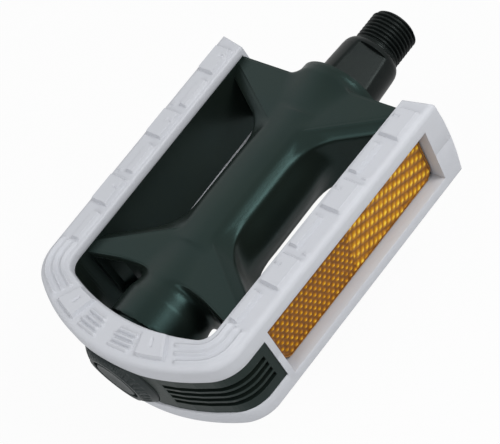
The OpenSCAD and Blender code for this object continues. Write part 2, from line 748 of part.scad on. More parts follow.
// Cone with a ringed front, cut flat where the cover crosses it, and a skirt that plugs into the core
module dust_cap() color([0.2, 0.3, 0.25]) difference() {
    union() {
        intersection() {
            lathe([[0, cap_front_y + cap_groove / 2], [cap_front_r - 2 * cap_ring_w, cap_front_y],
                   [cap_front_r - 2 * cap_ring_w, cap_front_y + cap_groove],
                   [cap_front_r - cap_ring_w, cap_front_y + cap_groove],
                   [cap_front_r - cap_ring_w, cap_front_y], [cap_front_r, cap_front_y],
                   [cap_r, cap_y], [cap_r, cap_seat_y], [cap_skirt_r, cap_seat_y],
                   [cap_skirt_r, plug_y], [0, plug_y]]);
            cap_arch(-cap_play);
        }
        tube_y(cap_skirt_r, plug_y - cap_play, plug_y + cap_skirt_len);
    }
    lathe([[0, plug_y + cap_skirt_len + cut], [cap_skirt_r - cap_wall, plug_y + cap_skirt_len + cut],
           [cap_skirt_r - cap_wall, plug_y], [cap_front_r - cap_wall, plug_y - cap_wall],
           [cap_front_r - cap_wall, cap_y], [0, cap_y]]);
    for (i = [0:cap_grip_n - 1]) rotate([0, 360 * i / cap_grip_n, 0])
        translate([cap_r, cap_y, 0]) rotate([0, 0, -cone_a]) rotate([90, 0, 0])
            cylinder(r = cap_grip_r, h = norm([cap_r - cap_front_r, cap_front_h]));
}

// The space between the two shallow arches over and under the dust cap, grown by g
module cap_arch(g) {
    r = (cap_r * cap_r + arch_rise * arch_rise) / (2 * arch_rise);
    z = band_h / 2 + arch_rise + g;
    intersection() {
        translate([0, 0, z - r]) tube_y(r, opening_y, end_y - end_rail);
        translate([0, 0, r - z]) tube_y(r, opening_y, end_y - end_rail);
    }
}

module dust_seal() color([0.1, 0.1, 0.1])
    lathe([[wrench_r + fit_play, seal_y], [cup_in_r, seal_y], [cup_in_r, seal_y - seal_t],
           [wrench_r + fit_play, seal_y - seal_t]]);

module ball(r, y, i) color([0.85, 0.85, 0.87])
    rotate([0, 360 * i / ball_n, 0]) translate([r, y, 0]) sphere(r = ball_r);

body_core();
tread_cover();
reflector_lens_front();
reflector_lens_rear();
reflector_back_front();
reflector_back_rear();
spindle();
inner_cup();
outer_cup();
outer_cone();
lock_washer();
lock_nut();
dust_cap();
dust_seal();
for (i = [1:ball_n]) {
    ball(ball_in_r, ball_in_y, i);
    ball(ball_out_r, ball_out_y, i);
}
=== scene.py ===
"""Looks of the bicycle pedal: numpy surfaces and procedural finishes on its CAD frame.

Lengths below are in millimetres in the part's own frame and become metres in the meshes.
+Y runs along the spindle towards the crank, +Z out of a tread, +X towards the reflector in view.
"""

import json

import bpy
import numpy as np
from mathutils import Matrix, Vector


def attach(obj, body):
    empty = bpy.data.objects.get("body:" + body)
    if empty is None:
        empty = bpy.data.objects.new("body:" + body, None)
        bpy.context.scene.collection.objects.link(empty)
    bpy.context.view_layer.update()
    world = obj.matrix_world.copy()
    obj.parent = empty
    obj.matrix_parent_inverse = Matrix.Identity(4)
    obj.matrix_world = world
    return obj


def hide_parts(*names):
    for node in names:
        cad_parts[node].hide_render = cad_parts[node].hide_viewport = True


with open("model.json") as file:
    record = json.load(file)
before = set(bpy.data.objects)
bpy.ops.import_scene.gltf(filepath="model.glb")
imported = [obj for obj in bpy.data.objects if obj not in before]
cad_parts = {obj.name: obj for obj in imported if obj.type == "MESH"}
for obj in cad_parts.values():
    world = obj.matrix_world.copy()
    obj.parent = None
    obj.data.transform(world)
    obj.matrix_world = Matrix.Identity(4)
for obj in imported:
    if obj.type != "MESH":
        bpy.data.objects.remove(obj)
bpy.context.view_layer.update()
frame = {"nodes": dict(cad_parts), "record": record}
NODES = frame["nodes"]

# Sizes repeated from the part's source
ARM_Y, END_Y = -16.9, -113.4
HALF_IN, HALF_OUT, LENGTH = 38.0, 35.7, 96.5
TREAD_Z, EDGE_R, RAIL_W, PLATE_T, SIDE_T = 13.7, 1.8, 9.5, 2.7, 5.0
WINDOW_IN, WINDOW_LEN, WINDOW_Z, TIP_SLANT, TIP_T, TIP_BOW = 6.2, 65.0, 9.3, 1.7, 1.8, 1.1
LENS_LEN, LENS_Z, LENS_CUT, LENS_IN, LENS_T = 64.4, 9.0, 2.4, 3.3, 2.0
BAND_Z, BAND_POST = 7.8, 1.8
PAD_H, PAD_PITCH, PAD_ROWS = 1.2, 24.4, 3
CAP_R, PLUG_Y, ARCH_RISE = 12.0, -107.21, 1.0
BARREL_STEP, WEB_OUT = END_Y + 19.7, END_Y + 25.7
THREAD_R, THREAD_PITCH, SHOULDER_R, FLAT_HALF = 7.144, 1.27, 9.4, 7.5
SLOPE = (HALF_IN - HALF_OUT) / LENGTH
TAPER = np.arctan(SLOPE)
ARCH_R = (CAP_R ** 2 + ARCH_RISE ** 2) / (2 * ARCH_RISE)


def smooth(t):
    """Smoothstep: 3t^2 - 2t^3 on t held between 0 and 1."""
    t = np.clip(t, 0, 1)
    return t * t * (3 - 2 * t)


def between(x, a, b, soft=0.5):
    """1 between a and b, falling to 0 over the width soft round each end."""
    return smooth((x - a) / soft + 0.5) * smooth((b - x) / soft + 0.5)


def arch_rise(x):
    """Rise of the cover's arch over the dust cap at x: a circular arc that ends at its rim."""
    return ARCH_RISE - ARCH_R + np.sqrt(ARCH_R ** 2 - np.minimum(np.abs(x), CAP_R) ** 2)


# ---------------------------------------------------------------- meshes

def grid_faces(rows, cols, wrap):
    """Quads of a grid of rows by cols points; wrap joins the last column to the first."""
    i = np.arange(rows - 1)[:, None]
    j = np.arange(cols if wrap else cols - 1)[None, :]
    k = (j + 1) % cols
    quads = np.stack([i * cols + j, i * cols + k, (i + 1) * cols + k, (i + 1) * cols + j], -1)
    return quads.reshape(-1, 4)


def volume(points, quads):
    """Signed volume: the sum over triangles of a . (b x c) / 6."""
    tris = np.concatenate([quads[:, [0, 1, 2]], quads[:, [0, 2, 3]]])
    a, b, c = (points[tris[:, n]] for n in range(3))
    return np.einsum("ij,ij->", a, np.cross(b, c)) / 6


def tube(name, grid, ends=True, sharp=32):
    """A closed solid from rings: grid[row, column] is a point, columns run round each ring, and
    the first and last rings are closed by one face each where ends is true."""
    rows, cols = grid.shape[:2]
    points = grid.reshape(-1, 3) * 0.001
    quads = grid_faces(rows, cols, True)
    centred = points - points.mean(0)
    turned = volume(centred, quads) < 0
    if turned:
        quads = quads[:, ::-1]
    faces = quads.tolist()
    if ends:
        first, last = np.arange(cols), np.arange(cols) + (rows - 1) * cols
        if turned:
            faces += [first.tolist(), last[::-1].tolist()]
        else:
            faces += [first[::-1].tolist(), last.tolist()]
    return mesh_object(name, points, faces, sharp)


def mesh_object(name, points, faces, sharp=32):
    mesh = bpy.data.meshes.new(name)
    mesh.from_pydata(points.tolist(), [], faces)
    mesh.polygons.foreach_set("use_smooth", np.ones(len(mesh.polygons), bool))
    mesh.set_sharp_from_angle(angle=np.radians(sharp))
    mesh.update()
    piece = bpy.data.objects.new(name, mesh)
    bpy.context.scene.collection.objects.link(piece)
    return piece


def joined(name, *pieces):
    """One object from several, whose meshes are put one after the other."""
    target = pieces[0]
    with bpy.context.temp_override(active_object=target, selected_editable_objects=list(pieces)):
        bpy.ops.object.join()
    target.name = target.data.name = name
    return target


# ---------------------------------------------------------------- outline of the body

def outline(inset, y_end, r_end, r_corner):
    """Right half of the plan outline: a straight side, a corner arc that touches it and the end
    arc. Gives the side's length and a function of (part, t) with part 0 side, 1 corner, 2 end."""
    a = HALF_IN - ARM_Y * SLOPE - (inset + r_corner) / np.cos(TAPER)
    e, r = y_end + r_end, r_end - r_corner
    q, k = a * SLOPE - e, 1 + SLOPE ** 2
    cy = (-q - np.sqrt(q * q - k * (a * a + e * e - r * r))) / k
    cx = a + SLOPE * cy
    turn = np.arctan2(cy - e, cx)
    start = np.array([HALF_IN - inset / np.cos(TAPER), ARM_Y])
    foot = np.array([cx + r_corner * np.cos(TAPER), cy - r_corner * np.sin(TAPER)])
    length = np.linalg.norm(foot - start)

    def side(d):
        return start + np.asarray(d)[:, None] / length * (foot - start)

    def corner(f):
        t = -TAPER + (turn + TAPER) * f
        return np.stack([cx + r_corner * np.cos(t), cy + r_corner * np.sin(t)], -1)

    def end(f):
        t = turn + (-np.pi / 2 - turn) * f
        return np.stack([r_end * np.cos(t), e + r_end * np.sin(t)], -1)

    return length, side, corner, end


# ---------------------------------------------------------------- tread cover

def arm_pads(d, u):
    """Height share of the raised figures on an arm; d runs along it, u across from its face. Each
    figure is a notched block, a bar and a dash, and they repeat at the pads' pitch."""
    h = np.zeros(np.broadcast(d, u).shape)
    for at in PAD_PITCH * np.arange(PAD_ROWS):
        block = between(d, 4.2 + at, 13.2 + at, 0.5) * between(u, 1.7, 7.7, 0.8)
        notch = between(d, 7.1 + at, 7.7 + at, 0.4) * between(u, 5.6, 7.6, 0.4)
        bar = between(d, 16.1 + at, 25.9 + at, 0.5) * between(u, 5.2, 7.8, 0.7)
        dash = between(d, 26.1 + at, 26.7 + at, 0.4) * between(u, 1.7, 3.2, 0.4)
        h = h + block * (1 - 0.35 * notch) + bar * 0.9 + dash * 0.35
    return h


def end_pads(x, u):
    """Height share of the figures on the outer end, a notched block and four short lines on each
    side; x is the distance from the middle."""
    block = between(x, 13.0, 21.6) * between(u, 2.6, 9.0)
    notch = between(x, 17.0, 17.6, 0.4) * between(u, 5.2, 7.6, 0.4)
    h = block * (1 - 0.35 * notch)
    for i in range(4):
        lo = 2.6 + 1.5 * i
        shift = 0.8 * (i % 2)
        h = h + 0.6 * between(x, 2.7 + shift, 10.1 + shift, 0.7) * between(u, lo, lo + 0.8, 0.5)
    return h


def corner_ridges(along, u):
    """Three ridges that follow the corner; along is 1 where they run and 0 where they stop."""
    h = 0
    ridge_w = 0.9
    for lo in (1.9, 4.3, 6.7):
        h = h + 0.6 * along * between(u, lo, lo + ridge_w, 0.7)
    return h


def cover_half(name):
    """The upper half of the cover: a C profile carried along the U of the body's outline. The
    profile's outer leg is short beside the windows, longer at the outer end and reaches the
    middle plane at the tips and posts, and its top is lifted by the pads."""
    length, side_o, corner_o, end_o = outline(0, END_Y, 60, 11)
    length_i, side_i, corner_i, end_i = outline(RAIL_W, END_Y + 10.8, 75, 5)
    step, corner_n, end_n, stretch_from, past_arm = 0.42, 35, 76, 60, 1e3
    window = (WINDOW_IN, WINDOW_IN + WINDOW_LEN)
    post = window[1] + BAND_POST
    d = np.concatenate([[0, 0.06, 0.18, 0.35, 0.6], np.arange(0.9, length - 0.2, step),
                        [TIP_T - 0.02, TIP_T + 0.02],
                        [w + e for w in (window[0], window[1], post) for e in (-0.02, 0.02)]])
    d = np.unique(np.round(d, 4))
    near = np.abs(d[:, None] - np.array([TIP_T, window[0], window[1], post])).min(1)
    d = d[(near > 0.15) | (near < 0.03)]
    # The two sides differ in length, which the inner one makes up near its end
    share = (length_i - stretch_from) / (length - stretch_from)
    d_i = np.where(d < stretch_from, d, stretch_from + (d - stretch_from) * share)
    fc = (np.arange(corner_n) + 0.5) / corner_n
    fe = np.linspace(0, 1, end_n)
    o = np.concatenate([side_o(d), corner_o(fc), end_o(fe)])
    inner = np.concatenate([side_i(d_i), corner_i(fc), end_i(fe)])
    arm_d = np.concatenate([d, np.full(corner_n + end_n, past_arm)])
    # Mirror the half about the middle column
    flip = np.array([-1, 1])
    o = np.concatenate([o, o[-2::-1] * flip])
    inner = np.concatenate([inner, inner[-2::-1] * flip])
    arm_d = np.concatenate([arm_d, arm_d[-2::-1]])
    x = np.abs(o[:, 0])
    on_arm = arm_d < past_arm

    closed = (arm_d < window[0]) | ((arm_d > window[1]) & (arm_d < post))
    arch = BAND_Z + np.maximum(0, arch_rise(x))
    low = np.where(closed, 0, np.where(arm_d < post, WINDOW_Z, arch))[:, None]
    under = np.where(arm_d < TIP_T, 0, TREAD_Z - PLATE_T)[:, None]
    r0 = np.where(closed, 0.01, 0.3)[:, None]
    quarter = np.radians(np.linspace(0, 90, 10))
    top_u = np.arange(EDGE_R + 0.3, 8.85, 0.28)
    one = np.ones_like(low)
    base = TREAD_Z - EDGE_R
    parts = [(r0, low), (0.3 * r0, low + 0.3 * r0), (0 * one, low + r0),
             (0 * one, low + r0 + (base - low - r0) * 0.5)]
    parts += [((EDGE_R - EDGE_R * np.cos(q)) * one, (base + EDGE_R * np.sin(q)) * one)
              for q in quarter]
    parts += [(v * one, TREAD_Z * one) for v in top_u]
    inner_edge = ((9.05, 13.6), (9.25, 13.3), (9.4, 12.8), (RAIL_W, 12.1))
    parts += [(v * one, z * one) for v, z in inner_edge]
    parts += [(RAIL_W * one, under + 0.25), (9.3 * one, under), (7.2 * one, under),
              (5.2 * one, under), (SIDE_T * one, np.maximum(under - 0.25, low + 1.01 * r0)),
              (SIDE_T * one, low + r0), ((SIDE_T - r0), low), (SIDE_T / 2 * one, low)]
    u = np.concatenate([p[0] for p in parts], 1)
    z = np.concatenate([p[1] for p in parts], 1)
    # Rounded rim at the tips: the profile is held inside a border that grows round a quarter arc
    rim = 0.6
    border = np.where(arm_d < rim, rim - np.sqrt(np.maximum(0, rim ** 2 - (rim - arm_d) ** 2)), 0)
    border = border[:, None]
    u = np.clip(u, border, RAIL_W - border)
    z = np.minimum(z, TREAD_Z - border)
    ridge_start, ridge_stop, ridge_fade = 75.2, 24.0, 0.8
    corner_run = np.where(on_arm, smooth((arm_d - ridge_start) / ridge_fade),
                          smooth((x - ridge_stop) / ridge_fade))[:, None]
    lift = np.where(on_arm[:, None], arm_pads(arm_d[:, None], u), end_pads(x[:, None], u))
    lift = np.minimum(lift + corner_ridges(corner_run, u), 1)
    flat_z = z
    z = z + PAD_H * lift * smooth((z - (TREAD_Z - 1.5)) / 1.2)
    gap = np.linalg.norm(inner - o, axis=1)[:, None]
    far = 7.9
    q = np.where(u < far, u, far + (u - far) * (gap - far) / (RAIL_W - far))
    across = ((inner - o) / gap)[:, None, :]
    # The tips slant across the arm and bow out at mid height, and both fade along it
    near_tip = 1 - smooth(arm_d[:, None] / 5.5)
    bow = TIP_BOW * (1 - (flat_z / TREAD_Z) ** 2)
    back = ((TIP_SLANT * u / RAIL_W - bow) * near_tip)[:, :, None]
    slip = np.stack([-SLOPE * np.sign(o[:, 0]), -np.ones(len(o))], -1)[:, None, :]
    plan = o[:, None, :] + across * q[:, :, None] + slip * back
    grid = np.concatenate([plan, z[:, :, None]], 2)
    return tube(name, grid, sharp=40)


def tread_cover():
    """Both halves of the cover, the lower one turned about the spindle's axis from the upper."""
    upper = cover_half("cover_upper")
    lower = cover_half("cover_lower")
    lower.data.transform(Matrix.Rotation(np.pi, 4, "Y"))
    return joined("tread_cover_skin", upper, lower)


# ---------------------------------------------------------------- core

def soft_min(a, b, k):
    """Smaller of two distances, blended over k: b(1-h) + ah - kh(1-h) with h = (1 + (b-a)/k)/2."""
    h = np.clip(0.5 + 0.5 * (b - a) / k, 0, 1)
    return b * (1 - h) + a * h - k * h * (1 - h)


def soft_max(a, b, k):
    """Larger of two distances, blended over k."""
    return -soft_min(-a, -b, k)


def core_distance(x, y, z):
    """Distance to the core's middle: the webs and spine as a plate with two bevelled windows,
    joined over soft fillets to the collar, the spine's crown and the barrel, less the hollows."""
    x, z, rho = np.abs(x), np.abs(z), np.hypot(x, z)
    spine, wall_in, wall_out, bore_r, crown_y, crown_half = 8.5, 29.8, 28.4, 10.35, -53.5, 22
    web_top, bevel_foot, edge_k, skin = 10.5, 8.5, 0.8, 0.05
    in_w, in_s, out_s, out_w = ARM_Y - 8, ARM_Y - 20.6, END_Y + 41.5, END_Y + 28.7
    k_in, k_out = (in_w - in_s) / (wall_in - spine), (out_s - out_w) / (wall_out - spine)
    to_in = (y - in_s - k_in * (x - spine)) / np.hypot(1, k_in)
    to_out = (out_s - k_out * (x - spine) - y) / np.hypot(1, k_out)
    # The windows' corners are wide at the foot of the bevel and tight at its top
    round_k = 7.5 - 5.9 * np.clip((z - bevel_foot) / 2, 0, 1)
    hole = soft_max(soft_max(spine - x, to_in, round_k), to_out, round_k)
    bevel = (z - bevel_foot - hole * 2 / 3) / 1.2
    edge_out = soft_min(WEB_OUT - y, (WEB_OUT - (x - 12.5) * 0.27 - y) / 1.036, 2.0)
    plate = soft_max(soft_max(z - web_top, bevel, edge_k), -hole, edge_k)
    plate = soft_max(plate, y - ARM_Y + 2.6, edge_k)
    plate = soft_max(plate, edge_out, edge_k)
    plate = np.maximum(plate, x - (HALF_IN - RAIL_W + 0.9 + (y - ARM_Y) * SLOPE))
    collar_r = np.interp(y, [-34, -18.0, -15.0], [8.2, 13.1, 13.1])
    collar = soft_max((rho - collar_r) * 0.96, y + 15.0, 1.0)
    barrel_r = np.interp(y, [BARREL_STEP, WEB_OUT, WEB_OUT + 20], [12.2, 10.8, 8.2])
    barrel = np.maximum((rho - barrel_r) * 0.98, END_Y + 11.9 - y)
    from_crown = np.abs(y - crown_y)
    crown = np.hypot(x, z + 1.0) - 12.1 + 0.7 * smooth((from_crown - 7) / 13)
    crown = np.maximum(crown, from_crown - crown_half)
    solid = soft_min(plate, crown, 2.4)
    solid = soft_min(soft_min(solid, collar, 3.2), barrel, 2.6) - skin
    hollow = np.maximum.reduce([15.55 - x, x - wall_out + 2.6, z - 8.05, 2.45 - hole])
    mouth = np.maximum(rho - bore_r, -22.6 - y)
    return np.maximum.reduce([solid, -hollow, -mouth])


def surface_net(field, low, step):
    """Points and quads of the zero level of a sampled field: one point in each cell that the level
    crosses, at the mean of its edge crossings, and one quad round each edge that it cuts."""
    size = np.array(field.shape)
    total, count = np.zeros((*(size - 1), 3)), np.zeros(size - 1)
    cells = np.stack(np.meshgrid(*(np.arange(n - 1) for n in size), indexing="ij"), -1)
    cuts = []
    for axis in range(3):
        others = [(axis + 1) % 3, (axis + 2) % 3]
        a = np.take(field, np.arange(size[axis] - 1), axis)
        b = np.take(field, np.arange(1, size[axis]), axis)
        cross = (a < 0) != (b < 0)
        share = np.where(cross, a / np.where(cross, a - b, 1), 0)
        cuts.append((axis, others, cross, a < 0))
        for du in (0, 1):
            for dv in (0, 1):
                part = [slice(None)] * 3
                part[others[0]] = slice(du, size[others[0]] - 1 + du)
                part[others[1]] = slice(dv, size[others[1]] - 1 + dv)
                here = cross[tuple(part)]
                at = cells.astype(float)
                at[..., axis] += share[tuple(part)]
                at[..., others[0]] += du
                at[..., others[1]] += dv
                total += at * here[..., None]
                count += here
    used = count > 0
    index = np.full(used.shape, -1)
    index[used] = np.arange(used.sum())
    points = np.array(low) + step * total[used] / count[used][:, None]
    quads = []
    for axis, others, cross, inward in cuts:
        at = np.argwhere(cross)
        ok = np.all([(at[:, o] > 0) & (at[:, o] < size[o] - 1) for o in others], 0)
        at = at[ok]
        flip = ~inward[tuple(at.T)]
        ring = []
        for du, dv in ((-1, -1), (0, -1), (0, 0), (-1, 0)):
            p = at.copy()
            p[:, others[0]] += du
            p[:, others[1]] += dv
            ring.append(index[tuple(p.T)])
        ring = np.stack(ring, 1)
        ring[flip] = ring[flip][:, ::-1]
        quads.append(ring)
    return points, np.concatenate(quads)


def core_skin():
    """The zero level of core_distance, sampled every 0.6 mm, with each point then moved onto it
    along the field's slope."""
    step, low, high = 0.6, (-30.3, -102.4, -13.5), (30.3, -14.0, 13.5)
    axes = [np.arange(a, b + step, step) for a, b in zip(low, high)]
    field = core_distance(*np.meshgrid(*axes, indexing="ij"))
    points, quads = surface_net(field, low, step)
    probe, rounds = 0.04, 3
    for _ in range(rounds):
        here = core_distance(*points.T)
        slope = np.stack([(core_distance(*(points + e).T) - core_distance(*(points - e).T))
                          / (2 * probe) for e in np.eye(3) * probe], 1)
        size = np.maximum((slope ** 2).sum(1), 0.2)
        points = points - np.clip(here / size, -0.15, 0.15)[:, None] * slope
    return mesh_object("core_skin", points * 0.001, quads.tolist(), 50)


# ---------------------------------------------------------------- spindle

def spindle_skin():
    """Radius as a function of the turn and of y: a lathe profile, a helical thread whose depth
    is a triangle wave of y / pitch - turn / 360, and flats where the radius is held to
    width / 2 / cos(turn from the flat)."""
    profile = np.array([
        (11.5, 0.0), (11.5, 5.9), (11.45, 6.25), (10.7, THREAD_R), (1.3, THREAD_R), (0.6, 6.9),
        (0.02, 6.9), (0.0, 7.6), (-0.08, 7.8), (-0.35, 8.17), (-0.9, 8.5), (-1.7, 8.75),
        (-3.0, 8.9), (-12.8, 9.36), (-15.0, SHOULDER_R), (-17.5, SHOULDER_R), (-17.52, 7.2),
        (-20.0, 7.2), (-21.58, 6.0), (-59.9, 6.0), (-60.7, 5.2), (-98.2, 5.2), (-99.4, 4.0),
        (-108.1, 4.0), (-108.4, 3.7), (-108.4, 0.0)])
    y = np.concatenate([[11.5, 11.5, 11.48, 11.45], np.arange(11.4, 0.02, -0.085),
                        [0.02, 0, -0.04, -0.08, -0.2, -0.35, -0.6, -0.9, -1.3, -1.7],
                        np.arange(-2.0, -13.9, -0.2), [-15.0, -17.5, -17.52, -20.0, -21.58],
                        np.linspace(-23, -59.9, 20), [-60.7, -98.2, -99.4],
                        np.linspace(-100, -108.1, 8), [-108.4, -108.4]])
    key = -profile[:, 0] + np.arange(len(profile)) * 1e-7
    r = np.interp(-y, key, profile[:, 1])
    # The faces at both ends close on a small ring
    r[0], r[1], r[-1], r[-2] = 0.05, 5.9, 0.05, 3.7
    turn = np.radians(np.arange(0, 360, 3.0))
    run_out, thread_depth, flats_turn = 0.8, 0.78, np.radians(58)
    wave = np.abs(((y[:, None] / THREAD_PITCH - turn / (2 * np.pi)) % 1) * 2 - 1)
    run = ((y < 11.42) & (y > run_out))[:, None] * smooth((y[:, None] - run_out) / 1.2)
    rad = r[:, None] - thread_depth * run * smooth(wave * 1.15 - 0.07)
    off = np.cos(turn - flats_turn)
    flat = FLAT_HALF / np.maximum(np.abs(off), 1e-3)
    in_flats = ((y <= -2.2) & (y >= -13.2))[:, None]
    rad = np.where(in_flats, np.minimum(rad, flat), rad)
    grid = np.stack([rad * np.cos(turn), y[:, None] + 0 * rad, rad * np.sin(turn)], -1)
    return tube("spindle_skin", grid, sharp=38)


# ---------------------------------------------------------------- dust cap

def dust_cap_skin():
    """A lathe profile of plug, rim, ribbed cone and ringed front. The cone's radius is lowered by
    narrow grooves round the turn, and heights are held under the arches of the cover."""
    profile = [(0.05, 0.7), (6.6, 0.7), (7.2, 4.9), (9.2, 6.2), (9.2, 8.6), (10.3, 8.6),
               (10.4, 8.4), (10.4, 6.2), (10.4, 2.2), (11.8, 2.2), (12.0, 2.05), (12.0, 1.4),
               (11.92, 1.15)]
    cone = np.linspace(0, 1, 18)[1:]
    profile += [(11.92 - 3.5 * f, 1.15 - 2.3 * f - 0.25 * np.sin(np.pi * f)) for f in cone]
    profile += [(8.2, -1.38), (7.9, -1.42), (7.3, -1.4), (7.1, -1.2), (7.05, -0.4), (6.9, -0.2),
                (6.2, -0.2), (6.05, -0.4), (6.0, -1.2), (5.8, -1.4), (5.2, -1.38), (3.4, -1.2),
                (1.6, -1.05), (0.05, -1.0)]
    profile = np.array(profile) + [0, END_Y]
    turn = np.radians(np.arange(0, 360, 1.5))
    r, y = profile[:, :1], profile[:, 1:]
    pairs_of_grooves = 18
    on_cone = between(r, 8.7, 10.5, 0.5) * (y < END_Y + 1)
    groove = smooth((np.abs(np.cos(pairs_of_grooves * turn)) - 0.6) / 0.25)
    rad = r - 0.24 * on_cone * groove
    yy = y + 0.2 * on_cone * groove + 0 * rad
    x, z = rad * np.cos(turn), rad * np.sin(turn)
    play = 0.15
    top = BAND_Z - play + arch_rise(x)
    front = yy < PLUG_Y - 0.1
    z = np.where(front, np.clip(z, -top, top), z)
    return tube("dust_cap_skin", np.stack([x, yy, z], -1), sharp=30)


# ---------------------------------------------------------------- reflectors

def rim_of(grid):
    """The outer entries of a grid, in order round it."""
    return np.concatenate([grid[:-1, 0], grid[-1, :-1], grid[:0:-1, -1], grid[0, :0:-1]])


def lens_skin(name, side):
    """The lens as a height field on a grid over its outline: a bevelled rim round a field of
    small prisms, slanted ridges on the crank half and round cells on the outer half."""
    length, high, long_n, high_n = LENS_LEN, LENS_Z, 345, 97
    split_at, split_tilt, cell_long, cell_high, relief = 32, 0.17, 1.9, 1.65, 0.42
    av, bv = np.meshgrid(np.linspace(0, length, long_n), np.linspace(-high, high, high_n),
                         indexing="ij")
    from_ends, from_sides = np.minimum(av, length - av), high - np.abs(bv)
    edge = np.minimum(from_ends, from_sides)
    edge = np.minimum(edge, (from_ends + from_sides - LENS_CUT) / np.sqrt(2))
    # Points outside the corner cuts slide in onto them
    slide = np.maximum(0, -edge) * np.sqrt(2) * 0.5
    sa, sb = np.sign(length / 2 - av), -np.sign(bv)
    av, bv = av + sa * slide, bv + sb * slide
    edge = np.maximum(edge, 0)
    bevel = -0.5 * (1 - smooth(edge / 0.7))
    field = smooth((edge - 1.0) / 0.3)
    streak = (np.abs(((av * 0.52 + bv * 0.30) % 1) * 2 - 1) ** 0.6
              * np.abs(((bv * 0.30 - av * 0.12) % 1) * 2 - 1))
    p, q = av / cell_long, bv / cell_high
    row = np.floor(q)
    cell_a = (p + 0.5 * (row % 2)) % 1 - 0.5
    cell_b = q % 1 - 0.5
    cells = np.clip(1 - 2.4 * np.hypot(cell_a, cell_b), 0, 1)
    split = smooth((av + split_tilt * bv - split_at) / 0.6)
    prism = relief * field * ((1 - split) * streak + split * cells)
    front = HALF_IN - LENS_IN + bevel - 0.25 * field + prism
    back = np.full_like(front, HALF_IN - LENS_IN - LENS_T)
    rows = []
    for depth in (front, back):
        # Local x is off the arm's face and local y runs back from the tip, both turned by the taper
        lx, ly = depth - HALF_IN, -(WINDOW_IN + 0.3 + av)
        px = HALF_IN + lx * np.cos(TAPER) + ly * np.sin(TAPER)
        py = ARM_Y - lx * np.sin(TAPER) + ly * np.cos(TAPER)
        rows.append(np.stack([side * px, py, bv], -1))
    front_n = long_n * high_n
    rim_back = rim_of(rows[1])
    quads = grid_faces(long_n, high_n, False)
    points = np.concatenate([rows[0].reshape(-1, 3), rim_back, rim_back.mean(0)[None]]) * 0.001
    rim = rim_of(np.arange(front_n).reshape(long_n, high_n))
    low = np.arange(len(rim)) + front_n
    walls = np.stack([rim, low, np.roll(low, -1), np.roll(rim, -1)], -1)
    fan = np.stack([low, np.full(len(rim), front_n + len(rim)), np.roll(low, -1)], -1)
    if side < 0:
        quads, walls, fan = quads[:, ::-1], walls[:, ::-1], fan[:, ::-1]
    piece = mesh_object(name, points, quads.tolist() + walls.tolist() + fan.tolist(), 60)
    # Painted glints: the "prism" attribute lightens the lens colour towards yellow on the prisms'
    # tips, more on the crank half than on the outer half, and lifts the rim towards orange
    rim_lift = 0.45 * (1 - smooth((edge - 0.75) / 0.2))
    glow = field * ((1 - split) * (0.20 + 0.92 * streak) + split * (0.13 + 0.82 * cells)) + rim_lift
    glow = np.clip(glow, 0, 1)
    layer = piece.data.attributes.new("prism", "FLOAT", "POINT")
    values = np.zeros(len(points), np.float32)
    values[:glow.size] = glow.reshape(-1)
    layer.data.foreach_set("value", values)
    return piece


# ---------------------------------------------------------------- finishes

def node(tree, kind, inputs=None, **settings):
    """Adds a shader node; an input's value is a constant or another node's socket."""
    made = tree.nodes.new(kind)
    for key, value in settings.items():
        setattr(made, key, value)
    for key, value in (inputs or {}).items():
        if isinstance(value, bpy.types.NodeSocket):
            tree.links.new(value, made.inputs[key])
        else:
            made.inputs[key].default_value = value
    return made


def grain_group():
    """Shared grain: a colour wandering between two tones in soft clouds, a fine spark-eroded
    height and a roughness that follows the clouds. Scale is in cells to the metre."""
    group = bpy.data.node_groups.new("moulded_grain", "ShaderNodeTree")
    face = group.interface
    for name, kind, value in (("Tone", "NodeSocketColor", (0.5, 0.5, 0.5, 1)),
                              ("Second Tone", "NodeSocketColor", (0.4, 0.4, 0.4, 1)),
                              ("Cloud Scale", "NodeSocketFloat", 60.0),
                              ("Grain Scale", "NodeSocketFloat", 2600.0),
                              ("Roughness", "NodeSocketFloat", 0.5),
                              ("Spread", "NodeSocketFloat", 0.1)):
        face.new_socket(name=name, in_out="INPUT", socket_type=kind).default_value = value
    for name, kind in (("Colour", "NodeSocketColor"), ("Roughness", "NodeSocketFloat"),
                       ("Height", "NodeSocketFloat")):
        face.new_socket(name=name, in_out="OUTPUT", socket_type=kind)
    given = group.nodes.new("NodeGroupInput")
    out = group.nodes.new("NodeGroupOutput")
    coords = group.nodes.new("ShaderNodeTexCoord").outputs["Object"]
    cloud = node(group, "ShaderNodeTexNoise", {
        "Vector": coords, "Scale": given.outputs["Cloud Scale"], "Detail": 3.0, "Roughness": 0.6})
    fine = node(group, "ShaderNodeTexNoise", {
        "Vector": coords, "Scale": given.outputs["Grain Scale"], "Detail": 2.0, "Roughness": 0.55})
    tone = node(group, "ShaderNodeMix", data_type="RGBA")
    group.links.new(cloud.outputs["Fac"], tone.inputs[0])
    group.links.new(given.outputs["Tone"], tone.inputs[6])
    group.links.new(given.outputs["Second Tone"], tone.inputs[7])
    shift = node(group, "ShaderNodeMath", {0: cloud.outputs["Fac"], 1: 0.5}, operation="SUBTRACT")
    scaled = node(group, "ShaderNodeMath", {0: shift.outputs[0], 1: given.outputs["Spread"]},
                  operation="MULTIPLY")
    rough = node(group, "ShaderNodeMath", {0: scaled.outputs[0], 1: given.outputs["Roughness"]},
                 operation="ADD")
    group.links.new(tone.outputs[2], out.inputs["Colour"])
    group.links.new(rough.outputs[0], out.inputs["Roughness"])
    group.links.new(fine.outputs["Fac"], out.inputs["Height"])
    return group


GRAIN = grain_group()


